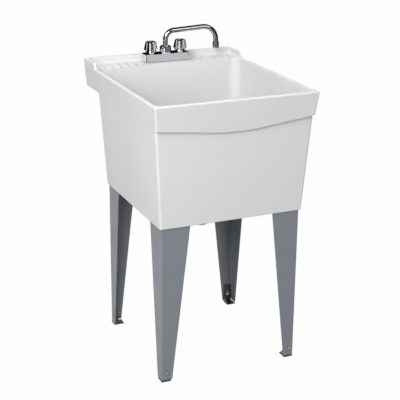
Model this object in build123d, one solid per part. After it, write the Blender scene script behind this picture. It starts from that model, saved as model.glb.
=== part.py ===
from build123d import *
import os
from math import cos, radians, sin, sqrt, tan

# Utility laundry sink: a moulded one-bowl tub on four sheet-steel legs with levelling feet,
# a two-handle centreset faucet on the rear ledge and a slip-joint drain.
# Frame: +X to the right, +Y to the back, +Z up, origin on the floor under the middle of the rim.
# All lengths are in millimetres, all angles in degrees.

# ---------------------------------------------------------------- driving dimensions
# legs: tapered L-sections, pressed from sheet
LEG_SHEET = 1.6
LEG_LENGTH = 500.0
LEG_FLOOR_GAP = 6.0  # bare end of the leg above the floor, foot fully retracted
LEG_TOP_WIDTH = 91.0
LEG_BOTTOM_WIDTH = 33.5
LEG_BEND_RADIUS = 2.2  # inside radius of the fold
LEG_INSET_SIDE = 6.0  # from the outside of the tub's bottom to the leg's outer face
LEG_INSET_FRONT = 4.5
LEG_INSET_BACK = 15.6

# levelling feet: slotted tab, base plate and curved web, held by one bolt each
FOOT_SHEET = 2.5
FOOT_WIDTH = 30.0
FOOT_DEPTH = 33.0
FOOT_TAB_HEIGHT = 64.0
FOOT_WEB_HEIGHT = 46.0
FOOT_WEB_HOLLOW = 7.0  # how far the web's free edge curves in from a straight line
FOOT_TRAVEL = 20.0
SLIDE_GAP = 0.2  # between the foot's tab and what it slides between
BOLT_RADIUS = 2.5
BOLT_HEIGHT = 31.0  # above the floor, foot retracted
BOLT_SETBACK = 16.5  # from the leg's fold
BOLT_HEAD_FLATS = 8.0
BOLT_HEAD_THICKNESS = 3.5
BOLT_END = 2.5  # thread left standing out of the nut
BOLT_HOLE_CLEARANCE = 0.3
NUT_THICKNESS = 5.0
NUT_FLANGE_RADIUS = 7.0
NUT_FLANGE_THICKNESS = 1.4

# tub: plan sizes over the rim, heights from the underside of the body
TUB_WIDTH = 508.0
TUB_DEPTH = 609.6
TUB_HEIGHT = 366.4
WALL = 5.0
SOCKET_DEPTH = 17.4  # how far a leg goes up into the tub
SOCKET_RIB = 5.0
SOCKET_CLEARANCE = 0.2
BODY_BOTTOM_SIDE = 27.0  # the bottom of the body lies this far inside the rim, each side
BODY_BOTTOM_FRONT = 31.3
BODY_BOTTOM_BACK = 109.2
BODY_CORNER = 7.0
BODY_REAR_CORNER = 24.0  # at the bottom
BODY_REAR_CORNER_SPREAD = 14.0  # added up to the apron's bottom
BODY_EDGE_ROUND = 2.0
FLOOR_THICKNESS = 10.0
FLOOR_DISH = 4.0
FLOOR_DISH_RADIUS = 205.0
BOWL_CORNER = 22.0
BOWL_FLOOR_ROUND = 14.0

# apron: the deep turned-down band under the rim
APRON_HEIGHT = 70.5
APRON_SIDE_DRAFT = 6.7  # drawn in at the bottom of the apron
APRON_FRONT_DRAFT = 7.8
APRON_CORNER = 5.0
APRON_FRONT_DROP = 23.5  # the middle of the front hangs this much lower
APRON_FRONT_FLAT = 84.0
APRON_SIDE_DROP = 17.5
APRON_DROP_END = 112.8  # from the tub's back to the rear end of the side's drop
APRON_DROP_RISE = 50.0  # lengths of the drop's parts, back to front
APRON_DROP_FLAT = 24.0
APRON_DROP_RUN = 188.0
APRON_DROP_EASE = 2.5  # fall over the long run up to its front end
BODY_STEP_SIDE = 1.5  # the body lies this far inside the apron's bottom edge
BODY_STEP_FRONT = 9.5
RIM_BAND = 6.0  # upright top of the apron
RIM_WIDTH = 12.0
RIM_OUTER_ROUND = 4.0
RIM_INNER_ROUND = 3.0

# rear ledge, backsplash and end walls
LEDGE_DEPTH = 86.0  # from the tub's back to the bowl's rear edge
LEDGE_OVERHANG = 86.4  # the ledge reaches this far behind the body, at the apron's bottom
LEDGE_BELOW_RIM = 2.0
LEDGE_THICKNESS = 8.0
LEDGE_SKIRT = 6.0
BACKSPLASH_HEIGHT = 18.0  # above the rim
BACKSPLASH_THICKNESS = 12.8
END_WALL_THICKNESS = 8.0
END_WALL_SLOPE_START = 105.8  # from the tub's back to the foot of the end wall's slope
END_WALL_SLOPE = 14.0
LEDGE_COVE = 4.0
BACKSPLASH_ROUND = 2.5

# soap trays: rows of flutes left and right of the faucet, open to the bowl
FLUTE_PITCH = 26.4
FLUTE_WIDTH = 24.4
FLUTE_START = 83.5  # from the middle of the ledge to the first ridge
FLUTE_END = 20.0  # least distance from the last ridge to the end wall
FLUTE_FRONT_DEPTH = 5.4
FLUTE_BACK_DEPTH = 1.6

# faucet: two-handle centreset with a box body
FAUCET_X = 8.0
FAUCET_SETBACK = 40.8  # from the tub's back
FAUCET_CENTRES = 101.6
FAUCET_END = 24.2  # from a valve to the end of the body
FAUCET_DEPTH = 50.0
FAUCET_HEIGHT = 23.5
FAUCET_TAPER = 2.0
FAUCET_CORNER = 4.0
FAUCET_TOP_ROUND = 2.5
FAUCET_WALL = 2.5
GASKET_THICKNESS = 1.5
GASKET_INSET = 1.5
BARREL_BORE = 9.5
BARREL_WALL = 4.5
BARREL_DEPTH = 20.0
WATERWAY_RADIUS = 7.0
SHANK_RADIUS = 10.4  # free end, where a supply hose goes on
SHANK_SHOULDER = 0.8  # the part that the locknut sits on is this much thicker, all round
SHANK_SHOULDER_END = 1.5  # below the locknut
SHANK_BORE = 6.5
SHANK_LENGTH = 55.0
SHANK_HOLE_CLEARANCE = 1.6
LOCKNUT_FLATS = 34.0
LOCKNUT_THICKNESS = 10.0
THREAD_CLEARANCE = 0.05

# valves
CARTRIDGE_FLATS = 18.0
CARTRIDGE_HEX = 4.0
CARTRIDGE_NECK_WALL = 2.5
CARTRIDGE_NECK_HEIGHT = 3.0
STEM_RADIUS = 4.5
STEM_CLEARANCE = 0.05
STEM_BELOW = 12.0
STEM_ABOVE = 12.0
STEM_SERRATIONS = 12
STEM_SERRATION_DEPTH = 0.6

# handles
HANDLE_RADIUS = 22.0
HANDLE_TOP_RADIUS = 17.5
HANDLE_HEIGHT = 36.5
HANDLE_LIFT = 2.0  # above the faucet body
HANDLE_NECK_WALL = 2.4  # round the cavity, at the handle's bottom
HANDLE_WIDEST = 11.0  # height of the widest point above the handle's bottom
HANDLE_CROWN = 2.5
HANDLE_LOBES = 5
HANDLE_FLUTE_RADIUS = 8.0
HANDLE_FLUTE_BITE = 5.5  # depth of a flute at half height, from the widest radius
HANDLE_FLUTE_LEAN = 9.0
HANDLE_CAVITY_GAP = 0.8  # round the corners of the cartridge
HANDLE_CAVITY_HEADROOM = 5.0  # above the cartridge
CAP_RADIUS = 9.0
CAP_THICKNESS = 2.0
CAP_RECESS = 3.2
CAP_CLEARANCE = 0.1
SCREW_HEAD_RADIUS = 4.0
SCREW_HEAD_HEIGHT = 2.4
SCREW_RADIUS = 2.0
SCREW_LENGTH = 10.0
SCREW_SEAT = 3.0  # metal between the stem and the screw's head
SCREW_SLOT = 1.0

# spout
TUBE_RADIUS = 8.0
TUBE_WALL = 1.0
SPOUT_REACH = 178.3
SPOUT_HEIGHT = 93.0  # from the ledge to the start of the run's centreline
SPOUT_RISE = 2.9
SPOUT_REAR_BEND = 29.0
SPOUT_FRONT_BEND = 45.5
SPOUT_DROP = 62.0  # from the end of the run down to the tube's open end
NIPPLE_WALL = 1.8  # round the O-ring's seat
NIPPLE_HEIGHT = 14.0
NIPPLE_BORE_DEPTH = 17.0
SWIVEL_CLEARANCE = 0.05
ORING_RADIUS = 1.2
ORING_GAP = 0.3
COLLAR_WIDTH = 3.5
COLLAR_THICKNESS = 3.5
COLLAR_GAP = 0.3  # above and below the collar
SPOUT_NUT_WALL = 4.8
SPOUT_NUT_CHAMFER = 3.5
SPOUT_NUT_SHOULDER = 3.0
AERATOR_HEIGHT = 20.0
AERATOR_GRIP = 7.0  # of the tube's end inside the shell
AERATOR_SEAT = 1.2  # the chamber is this much wider than the tube, all round
AERATOR_WALL = 1.2
AERATOR_WASHER = 2.0
AERATOR_LIP = 1.5
AERATOR_HOLE_SPACING = 0.43  # share of the chamber's radius
AERATOR_KNURLS = 24
AERATOR_KNURL_DEPTH = 0.5
AERATOR_KNURL_HEIGHT = 8.0

# drain
DRAIN_FLANGE_RADIUS = 36.0
DRAIN_FLANGE_THICKNESS = 2.5
DRAIN_FLANGE_CLEARANCE = 1.0
DRAIN_TUBE_RADIUS = 24.0
DRAIN_BORE = 19.5
DRAIN_HOLE_CLEARANCE = 1.0
DRAIN_BOSS_MARGIN = 8.0  # the boss is this much wider than the flange, all round
DRAIN_BOSS_DROP = 3.0
DRAIN_LENGTH = 36.0
DRAIN_SEAT_TOP_RADIUS = 23.0
DRAIN_SEAT_DEPTH = 8.0
DRAIN_BAR_WIDTH = 3.0
DRAIN_BAR_HEIGHT = 4.0
DRAIN_BAR_DEPTH = 18.0
DRAIN_GASKET_THICKNESS = 4.0
DRAIN_LOCKNUT_FLATS = 66.0
DRAIN_LOCKNUT_THICKNESS = 9.0
TAILPIECE_RADIUS = 19.05
TAILPIECE_WALL = 1.3
TAILPIECE_LENGTH = 76.0
TAILPIECE_COLLAR = 1.2  # the tube is this much thicker under its flange, all round
TAILPIECE_COLLAR_END = 1.0  # below the nut
TAILPIECE_FLANGE_GAP = 1.2  # round the flange, inside the nut
TAILPIECE_FLANGE_THICKNESS = 2.0
TAILPIECE_WASHER_THICKNESS = 1.5
TAILPIECE_NUT_WALL = 5.0
TAILPIECE_NUT_GAP = 3.5  # between the two nuts
TAILPIECE_NUT_SHOULDER = 3.0
TAILPIECE_NUT_LUGS = 6
TAILPIECE_NUT_LUG = 3.0
TAILPIECE_CLEARANCE = 0.25
STOPPER_CLEARANCE = 0.3
STOPPER_RIM_RADIUS = 26.0
STOPPER_RIM_THICKNESS = 3.5
STOPPER_GRIP_RADIUS = 6.5
STOPPER_GRIP_WAIST = 4.0
STOPPER_GRIP_HEIGHT = 14.0

# ---------------------------------------------------------------- places worked out from them
BODY_Z = LEG_FLOOR_GAP + LEG_LENGTH - SOCKET_DEPTH
RIM_Z = BODY_Z + TUB_HEIGHT
APRON_Z = RIM_Z - APRON_HEIGHT
FLOOR_UNDER_Z = BODY_Z + SOCKET_DEPTH
FLOOR_Z = FLOOR_UNDER_Z + FLOOR_THICKNESS
LEDGE_Z = RIM_Z - LEDGE_BELOW_RIM
LEG_TOP_Z = LEG_FLOOR_GAP + LEG_LENGTH

FRONT_Y = -TUB_DEPTH / 2
BACK_Y = TUB_DEPTH / 2
BOTTOM_HALF = TUB_WIDTH / 2 - BODY_BOTTOM_SIDE
BOTTOM_FRONT_Y = FRONT_Y + BODY_BOTTOM_FRONT
BOTTOM_BACK_Y = BACK_Y - BODY_BOTTOM_BACK
LEG_X = BOTTOM_HALF - LEG_INSET_SIDE
LEG_FRONT_Y = BOTTOM_FRONT_Y + LEG_INSET_FRONT
LEG_BACK_Y = BOTTOM_BACK_Y - LEG_INSET_BACK

APRON_BOTTOM_HALF = TUB_WIDTH / 2 - APRON_SIDE_DRAFT
APRON_BOTTOM_FRONT = FRONT_Y + APRON_FRONT_DRAFT
APRON_LOW_Z = APRON_Z - max(APRON_FRONT_DROP, APRON_SIDE_DROP)
BODY_BACK_AT_APRON = BACK_Y - LEDGE_OVERHANG
BOWL_BACK_Y = BACK_Y - LEDGE_DEPTH

FAUCET_Y = BACK_Y - FAUCET_SETBACK
FAUCET_LENGTH = FAUCET_CENTRES + 2 * FAUCET_END
VALVE_X = (FAUCET_X - FAUCET_CENTRES / 2, FAUCET_X + FAUCET_CENTRES / 2)
FAUCET_Z = LEDGE_Z + GASKET_THICKNESS
BODY_TOP_Z = FAUCET_Z + FAUCET_HEIGHT
LOCKNUT_Z = LEDGE_Z - LEDGE_THICKNESS - LOCKNUT_THICKNESS
SHANK_THREAD_RADIUS = SHANK_RADIUS + SHANK_SHOULDER
SHANK_HOLE_RADIUS = SHANK_THREAD_RADIUS + SHANK_HOLE_CLEARANCE
HEX_TOP_Z = BODY_TOP_Z + CARTRIDGE_HEX
NECK_TOP_Z = HEX_TOP_Z + CARTRIDGE_NECK_HEIGHT
STEM_TOP_Z = NECK_TOP_Z + STEM_ABOVE
HANDLE_Z = BODY_TOP_Z + HANDLE_LIFT
HANDLE_TOP_Z = HANDLE_Z + HANDLE_HEIGHT

ORING_SEAT_DEPTH = 2 * (ORING_RADIUS + ORING_GAP)
ORING_SEAT_RADIUS = TUBE_RADIUS + 2 * ORING_RADIUS + ORING_GAP
NIPPLE_RADIUS = ORING_SEAT_RADIUS + NIPPLE_WALL
NIPPLE_TOP_Z = BODY_TOP_Z + NIPPLE_HEIGHT
COLLAR_Z = NIPPLE_TOP_Z + COLLAR_GAP
SPOUT_NUT_INSIDE_Z = COLLAR_Z + COLLAR_THICKNESS + COLLAR_GAP
SPOUT_RUN_Z = LEDGE_Z + SPOUT_HEIGHT
OUTLET_X = FAUCET_X + SPOUT_REACH
RUN_END_Z = SPOUT_RUN_Z + SPOUT_REACH * tan(radians(SPOUT_RISE))
TUBE_END_Z = RUN_END_Z - SPOUT_DROP
TUBE_LOW_Z = NIPPLE_TOP_Z - NIPPLE_BORE_DEPTH + SLIDE_GAP
AERATOR_TOP_Z = TUBE_END_Z + AERATOR_GRIP
AERATOR_LOW_Z = AERATOR_TOP_Z - AERATOR_HEIGHT
AERATOR_CHAMBER = TUBE_RADIUS + AERATOR_SEAT
AERATOR_RADIUS = AERATOR_CHAMBER + AERATOR_WALL

DRAIN_Y = (LEG_FRONT_Y + LEG_BACK_Y) / 2
DRAIN_TOP_Z = FLOOR_Z - FLOOR_DISH
DRAIN_SEAT_Z = DRAIN_TOP_Z - DRAIN_FLANGE_THICKNESS
DRAIN_BOSS_RADIUS = DRAIN_FLANGE_RADIUS + DRAIN_BOSS_MARGIN
DRAIN_BOSS_Z = FLOOR_UNDER_Z - DRAIN_BOSS_DROP
DRAIN_END_Z = DRAIN_TOP_Z - DRAIN_LENGTH
DRAIN_LOCKNUT_TOP_Z = DRAIN_BOSS_Z - DRAIN_GASKET_THICKNESS
DRAIN_LOCKNUT_Z = DRAIN_LOCKNUT_TOP_Z - DRAIN_LOCKNUT_THICKNESS
TAILPIECE_TOP_Z = DRAIN_END_Z - TAILPIECE_WASHER_THICKNESS
TAILPIECE_FLANGE_RADIUS = DRAIN_TUBE_RADIUS - TAILPIECE_FLANGE_GAP
TAILPIECE_FLANGE_Z = TAILPIECE_TOP_Z - TAILPIECE_FLANGE_THICKNESS
TAILPIECE_NUT_Z = TAILPIECE_FLANGE_Z - TAILPIECE_NUT_SHOULDER
TAILPIECE_COLLAR_RADIUS = TAILPIECE_RADIUS + TAILPIECE_COLLAR

TAB_Y = LEG_SHEET + SLIDE_GAP  # outer face of a foot's tab, from the leg's outer face
NUT_Y = TAB_Y + FOOT_SHEET + SLIDE_GAP

PAST = 1.0  # cutting tools run this far past the faces that they cut


# ---------------------------------------------------------------- small helpers
def plan_outline(half_width, front, back, radius, z, rear_radius=None):
    """Rounded rectangle in plan, at height z."""
    outline = Rectangle(2 * half_width, back - front)
    outline = fillet(outline.vertices().sort_by(Axis.Y)[:2], radius)
    outline = fillet(outline.vertices().sort_by(Axis.Y)[-2:], rear_radius or radius)
    return (Pos(0, (front + back) / 2, z) * outline).face()


def post(x, y, z_low, z_high, radius):
    """Upright cylinder between two heights."""
    height = z_high - z_low
    return Pos(x, y, z_low) * Cylinder(radius, height, align=(Align.CENTER, Align.CENTER, Align.MIN))


def ring(x, y, z_low, z_high, outer, inner):
    """Upright tube between two heights."""
    bore = post(x, y, z_low - PAST, z_high + PAST, inner)
    return post(x, y, z_low, z_high, outer) - bore


def hexagon(x, y, z_low, z_high, flats):
    """Upright hexagonal bar, given its size across flats."""
    outline = RegularPolygon(flats / 2, 6, major_radius=False)
    return Pos(x, y, z_low) * extrude(outline, amount=z_high - z_low)


def turned(points, x, y):
    """Solid turned about an upright axis from (radius, height) points."""
    profile = make_face(Polyline(*[(r, 0, z) for r, z in points], close=True))
    return Pos(x, y, 0) * revolve(profile, axis=Axis.Z)


def block(x_low, x_high, y_low, y_high, z_low, z_high):
    """Box between two corners."""
    size = Box(x_high - x_low, y_high - y_low, z_high - z_low, align=(Align.MIN,) * 3)
    return Pos(x_low, y_low, z_low) * size


def at_corner(shape, corner):
    """Place a shape drawn for the corner (0, 0), flanges along +X and +Y, at one leg."""
    if corner == "front_left":
        return Pos(-LEG_X, LEG_FRONT_Y, 0) * shape
    if corner == "rear_left":
        return Pos(-LEG_X, LEG_BACK_Y, 0) * Rot(0, 0, -90) * shape
    if corner == "rear_right":
        return Pos(LEG_X, LEG_BACK_Y, 0) * Rot(0, 0, 180) * shape
    return mirror(Pos(-LEG_X, LEG_FRONT_Y, 0) * shape, about=Plane.YZ)


CORNERS = ("front_left", "front_right", "rear_left", "rear_right")


# ---------------------------------------------------------------- tub
def body_plan(z, inset, radius):
    """Outline of the tapered body at height z, drawn in by inset."""
    share = (z - BODY_Z) / (APRON_Z - BODY_Z)
    half = BOTTOM_HALF + share * (APRON_BOTTOM_HALF - BODY_STEP_SIDE - BOTTOM_HALF)
    front = BOTTOM_FRONT_Y + share * (APRON_BOTTOM_FRONT + BODY_STEP_FRONT - BOTTOM_FRONT_Y)
    back = BOTTOM_BACK_Y + share * (BODY_BACK_AT_APRON - BOTTOM_BACK_Y)
    rear_radius = BODY_REAR_CORNER + share * BODY_REAR_CORNER_SPREAD - inset
    return plan_outline(half - inset, front + inset, back - inset, radius, z, rear_radius)


def bowl_back(z):
    """Rear face of the bowl at height z, between its knee and its mouth."""
    knee = BODY_BACK_AT_APRON - WALL
    return knee + (BOWL_BACK_Y - knee) * (z - APRON_Z) / APRON_HEIGHT


def apron_draft(z):
    """Share of the apron's draft that is reached at height z."""
    return (RIM_Z - RIM_BAND - z) / (APRON_HEIGHT - RIM_BAND)


def apron_half(z):
    """Half width of the apron at height z."""
    return TUB_WIDTH / 2 - apron_draft(z) * APRON_SIDE_DRAFT


def apron_plan(z):
    """Outline of the apron's drafted part at height z. Its back is upright."""
    front = FRONT_Y + apron_draft(z) * APRON_FRONT_DRAFT
    return plan_outline(apron_half(z), front, BACK_Y, APRON_CORNER, z)


def apron():
    """Band under the rim: level at the corners, hanging lower at the front and the sides."""
    top = apron_plan(RIM_Z - RIM_BAND)
    band = loft([apron_plan(APRON_LOW_Z - PAST), top]) + extrude(top, RIM_BAND)
    band = fillet(band.faces().sort_by(Axis.Z)[-1].edges(), RIM_OUTER_ROUND)
    level = block(-TUB_WIDTH, TUB_WIDTH, -TUB_DEPTH, TUB_DEPTH, APRON_Z, RIM_Z + PAST)
    front_line = Polyline(
        (-APRON_BOTTOM_HALF, APRON_Z),
        (-APRON_FRONT_FLAT / 2, APRON_Z - APRON_FRONT_DROP),
        (APRON_FRONT_FLAT / 2, APRON_Z - APRON_FRONT_DROP),
        (APRON_BOTTOM_HALF, APRON_Z),
        (APRON_BOTTOM_HALF, APRON_Z + PAST),
        (-APRON_BOTTOM_HALF, APRON_Z + PAST),
        close=True,
    )
    front_reach = BODY_BOTTOM_FRONT + BODY_CORNER
    front_drop = Pos(0, FRONT_Y, 0) * extrude(Plane.XZ * make_face(front_line), amount=-front_reach)
    end = BACK_Y - APRON_DROP_END
    low_back = end - APRON_DROP_RISE
    low_front = low_back - APRON_DROP_FLAT
    side_line = Polyline(
        (FRONT_Y, APRON_Z),
        (low_front - APRON_DROP_RUN, APRON_Z - APRON_DROP_EASE),
        (low_front, APRON_Z - APRON_SIDE_DROP),
        (low_back, APRON_Z - APRON_SIDE_DROP),
        (end, APRON_Z),
        (end, APRON_Z + PAST),
        (FRONT_Y, APRON_Z + PAST),
        close=True,
    )
    side_drop = extrude(Plane.YZ * make_face(side_line), amount=TUB_WIDTH / 2, both=True)
    return band & (level + front_drop + side_drop)


def backsplash():
    """Low wall along the back with an end wall at each side, solid down into the ledge."""
    foot = BACK_Y - END_WALL_SLOPE_START
    outline = Polyline(
        (foot, RIM_Z - RIM_OUTER_ROUND),
        (foot, RIM_Z),
        (foot + END_WALL_SLOPE, RIM_Z + BACKSPLASH_HEIGHT),
        (BACK_Y, RIM_Z + BACKSPLASH_HEIGHT),
        (BACK_Y, RIM_Z - RIM_OUTER_ROUND),
        close=True,
    )
    wall = extrude(Plane.YZ * make_face(outline), amount=TUB_WIDTH / 2, both=True)
    rear_corners = wall.edges().filter_by(Axis.Z).sort_by(Axis.Y)[-2:]
    wall = fillet(rear_corners, APRON_CORNER)
    tops = wall.faces().sort_by(Axis.Z)[-1].edges()
    return fillet(tops, BACKSPLASH_ROUND)


def ledge_room():
    """Space above the ledge, inside the backsplash and the end walls."""
    half = TUB_WIDTH / 2 - END_WALL_THICKNESS
    front = BACK_Y - END_WALL_SLOPE_START
    back = BACK_Y - BACKSPLASH_THICKNESS
    top = RIM_Z + BACKSPLASH_HEIGHT + 2 * LEDGE_COVE
    room = block(-half, half, front, back, LEDGE_Z, top)
    return fillet(room.faces().sort_by(Axis.Z)[0].edges().sort_by(Axis.Y)[1:], LEDGE_COVE)


def flutes():
    """Flutes of both soap trays: hollows that get deeper towards the bowl."""
    half = FLUTE_WIDTH / 2
    front = bowl_back(LEDGE_Z - FLUTE_FRONT_DEPTH) - PAST
    back = BACK_Y - BACKSPLASH_THICKNESS - LEDGE_COVE
    ends = []
    for y, depth in ((front, FLUTE_FRONT_DEPTH), (back, FLUTE_BACK_DEPTH)):
        hollow = ThreePointArc((-half, 0), (0, -depth), (half, 0))
        mouth = Polyline((half, 0), (half, PAST), (-half, PAST), (-half, 0))
        ends.append(Pos(0, y, LEDGE_Z) * (Plane.XZ * make_face(hollow + mouth)))
    flute = loft(ends, ruled=True)
    room = TUB_WIDTH / 2 - END_WALL_THICKNESS - FLUTE_END - FLUTE_START
    middles = [FLUTE_START + (index + 0.5) * FLUTE_PITCH for index in range(int(room / FLUTE_PITCH))]
    return [Pos(side * x, 0, 0) * flute for side in (-1, 1) for x in middles]


def bowl():
    """Hollow of the bowl, from its dished floor to the rim."""
    floor = body_plan(FLOOR_Z, WALL, BOWL_CORNER)
    knee = body_plan(APRON_Z, WALL, BOWL_CORNER)
    half = TUB_WIDTH / 2 - RIM_WIDTH
    mouth = plan_outline(half, FRONT_Y + RIM_WIDTH, BOWL_BACK_Y, BOWL_CORNER, RIM_Z)
    lower = loft([floor, knee])
    lower = fillet(lower.faces().sort_by(Axis.Z)[0].edges(), BOWL_FLOOR_ROUND)
    dish = turned(
        (
            (0, DRAIN_TOP_Z),
            (DRAIN_BOSS_RADIUS, DRAIN_TOP_Z),
            (FLOOR_DISH_RADIUS, FLOOR_Z),
            (0, FLOOR_Z),
        ),
        0,
        DRAIN_Y,
    )
    return lower + loft([knee, mouth]) + dish


def ledge_hollow():
    """Open space under the ledge, behind the bowl."""
    back = BACK_Y - LEDGE_SKIRT
    faces = []
    for z in (APRON_Z, LEDGE_Z - LEDGE_THICKNESS):
        half = apron_half(z) - LEDGE_SKIRT
        faces.append(plan_outline(half, bowl_back(z) + WALL, back, APRON_CORNER / 2, z))
    return loft(faces) + extrude(faces[0], -PAST)


def leg_slot(thickness, width, z_low, z_high):
    """L-shaped bar in the corner (0, 0) with flanges along +X and +Y."""
    along_x = block(0, width, 0, thickness, z_low, z_high)
    along_y = block(0, thickness, 0, width, z_low, z_high)
    return along_x + along_y


def tub_basin():
    body = loft([body_plan(BODY_Z, 0, BODY_CORNER), body_plan(LEDGE_Z - PAST, 0, BODY_CORNER)])
    body = fillet(body.faces().sort_by(Axis.Z)[0].edges(), BODY_EDGE_ROUND)
    tub = body + apron() - bowl()
    rim = tub.faces().filter_by(Axis.Z).sort_by(Axis.Z)[-1]
    tub = fillet(rim.inner_wires()[0].edges(), RIM_INNER_ROUND) + (backsplash() - bowl())
    tub -= ledge_room()
    tub -= ledge_hollow()
    tub -= flutes()
    recess = loft(
        [body_plan(BODY_Z - PAST, WALL, BODY_CORNER), body_plan(FLOOR_UNDER_Z, WALL, BODY_CORNER)]
    )
    slot_sheet = LEG_SHEET + 2 * SOCKET_CLEARANCE
    slot_width = LEG_TOP_WIDTH + 2 * SOCKET_CLEARANCE
    block_around = leg_slot(
        WALL + slot_sheet + SOCKET_RIB, WALL + slot_width + SOCKET_RIB, BODY_Z, FLOOR_UNDER_Z
    )
    slot = leg_slot(slot_sheet, slot_width, BODY_Z - PAST, FLOOR_UNDER_Z)
    inner_fold = slot.edges().filter_by(Axis.Z).sort_by_distance((slot_sheet, slot_sheet, BODY_Z))[0]
    slot = Pos(-SOCKET_CLEARANCE, -SOCKET_CLEARANCE, 0) * fillet(inner_fold, LEG_BEND_RADIUS)
    for corner in CORNERS:
        recess -= at_corner(Pos(-WALL, -WALL, 0) * block_around, corner)
    boss = post(0, DRAIN_Y, FLOOR_UNDER_Z - DRAIN_BOSS_DROP, FLOOR_UNDER_Z, DRAIN_BOSS_RADIUS)
    tub -= recess - boss
    for corner in CORNERS:
        tub -= at_corner(slot, corner)
    hole_radius = DRAIN_TUBE_RADIUS + DRAIN_HOLE_CLEARANCE
    tub -= post(0, DRAIN_Y, BODY_Z, FLOOR_Z, hole_radius)
    seat_radius = DRAIN_FLANGE_RADIUS + DRAIN_FLANGE_CLEARANCE
    tub -= post(0, DRAIN_Y, DRAIN_SEAT_Z, FLOOR_Z, seat_radius)
    for x in VALVE_X:
        tub -= post(x, FAUCET_Y, LEDGE_Z - LEDGE_THICKNESS - PAST, RIM_Z, SHANK_HOLE_RADIUS)
    return tub


# ---------------------------------------------------------------- legs and levelling feet
def leg():
    """One leg at the corner (0, 0): two tapered flanges, bolt hole in the one along +X."""
    outline = Polyline(
        (0, LEG_FLOOR_GAP),
        (LEG_BOTTOM_WIDTH, LEG_FLOOR_GAP),
        (LEG_TOP_WIDTH, LEG_TOP_Z),
        (0, LEG_TOP_Z),
        close=True,
    )
    along_x = extrude(Plane.XZ * make_face(outline), amount=-LEG_SHEET)
    along_y = extrude(Plane.YZ * make_face(outline), amount=LEG_SHEET)
    angle = along_x + along_y
    upright = angle.edges().filter_by(Axis.Z)
    outer_fold = upright.sort_by_distance((0, 0, LEG_LENGTH / 2))[0]
    inner_fold = upright.sort_by_distance((LEG_SHEET, LEG_SHEET, LEG_LENGTH / 2))[0]
    angle = fillet(inner_fold, LEG_BEND_RADIUS)
    outer_fold = angle.edges().filter_by(Axis.Z).sort_by_distance((0, 0, LEG_LENGTH / 2))[0]
    angle = fillet(outer_fold, LEG_BEND_RADIUS + LEG_SHEET)
    hole = Rot(90, 0, 0) * Cylinder(BOLT_RADIUS + BOLT_HOLE_CLEARANCE, 4 * LEG_SHEET)
    return angle - Pos(BOLT_SETBACK, 0, BOLT_HEIGHT) * hole


def foot():
    """Levelling foot, retracted: slotted tab inside the leg, base plate under it, curved web."""
    side = LEG_SHEET + LEG_BEND_RADIUS + SLIDE_GAP
    base = block(0, FOOT_WIDTH, 0, FOOT_DEPTH, 0, FOOT_SHEET)
    tab = block(side, FOOT_WIDTH, TAB_Y, TAB_Y + FOOT_SHEET, 0, FOOT_TAB_HEIGHT)
    tab_edges = tab.edges().filter_by(Axis.Y).sort_by(Axis.Z)[-2:]
    tab = fillet(tab_edges, FOOT_WIDTH / 6)
    root = TAB_Y + FOOT_SHEET
    middle = ((root + FOOT_DEPTH) / 2, (FOOT_WEB_HEIGHT + FOOT_SHEET) / 2)
    lean = sqrt((FOOT_DEPTH - root) ** 2 + (FOOT_WEB_HEIGHT - FOOT_SHEET) ** 2)
    hollow = (
        middle[0] - FOOT_WEB_HOLLOW * (FOOT_WEB_HEIGHT - FOOT_SHEET) / lean,
        middle[1] - FOOT_WEB_HOLLOW * (FOOT_DEPTH - root) / lean,
    )
    free_edge = ThreePointArc((FOOT_DEPTH, FOOT_SHEET), hollow, (root, FOOT_WEB_HEIGHT))
    rest = Polyline((root, FOOT_WEB_HEIGHT), (TAB_Y, FOOT_WEB_HEIGHT), (TAB_Y, 0), (FOOT_DEPTH, 0))
    closing = Line((FOOT_DEPTH, 0), (FOOT_DEPTH, FOOT_SHEET))
    web = extrude(Plane.YZ * make_face(free_edge + rest + closing), amount=FOOT_SHEET)
    web = Pos(FOOT_WIDTH - FOOT_SHEET, 0, 0) * web
    slot_width = 2 * (BOLT_RADIUS + BOLT_HOLE_CLEARANCE)
    slot = SlotCenterToCenter(FOOT_TRAVEL, slot_width, rotation=90)
    slot_middle = BOLT_HEIGHT + FOOT_TRAVEL / 2
    cut = extrude(Plane.XZ * Pos(BOLT_SETBACK, slot_middle, 0) * slot, amount=-2 * NUT_Y)
    return base + tab + web - cut


def foot_bolt():
    """Hexagon-head bolt, its head on the leg's outer face."""
    end = NUT_Y + NUT_THICKNESS + BOLT_END
    head = hexagon(0, 0, 0, BOLT_HEAD_THICKNESS, BOLT_HEAD_FLATS)
    head = chamfer(head.faces().sort_by(Axis.Z)[-1].edges(), BOLT_HEAD_THICKNESS / 6)
    bolt = head + post(0, 0, -end, 0, BOLT_RADIUS)
    return Pos(BOLT_SETBACK, 0, BOLT_HEIGHT) * Rot(90, 0, 0) * bolt


def foot_nut():
    """Flange nut on the inner face of the foot's tab."""
    nut = hexagon(0, 0, 0, NUT_THICKNESS, BOLT_HEAD_FLATS)
    nut += post(0, 0, 0, NUT_FLANGE_THICKNESS, NUT_FLANGE_RADIUS)
    nut -= post(0, 0, -PAST, NUT_THICKNESS + PAST, BOLT_RADIUS + THREAD_CLEARANCE)
    return Pos(BOLT_SETBACK, NUT_Y, BOLT_HEIGHT) * Rot(-90, 0, 0) * nut


# ---------------------------------------------------------------- faucet
def faucet_box(inset, z_low, z_high, radius):
    """Tapered box of the faucet body, drawn in by inset."""
    half_length = FAUCET_LENGTH / 2 - inset
    half_depth = FAUCET_DEPTH / 2 - inset
    outlines = []
    for z, taper in ((z_low, 0), (z_high, FAUCET_TAPER)):
        outline = RectangleRounded(2 * (half_length - taper), 2 * (half_depth - taper), radius)
        outlines.append((Pos(FAUCET_X, FAUCET_Y, z) * outline).face())
    return loft(outlines)


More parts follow.
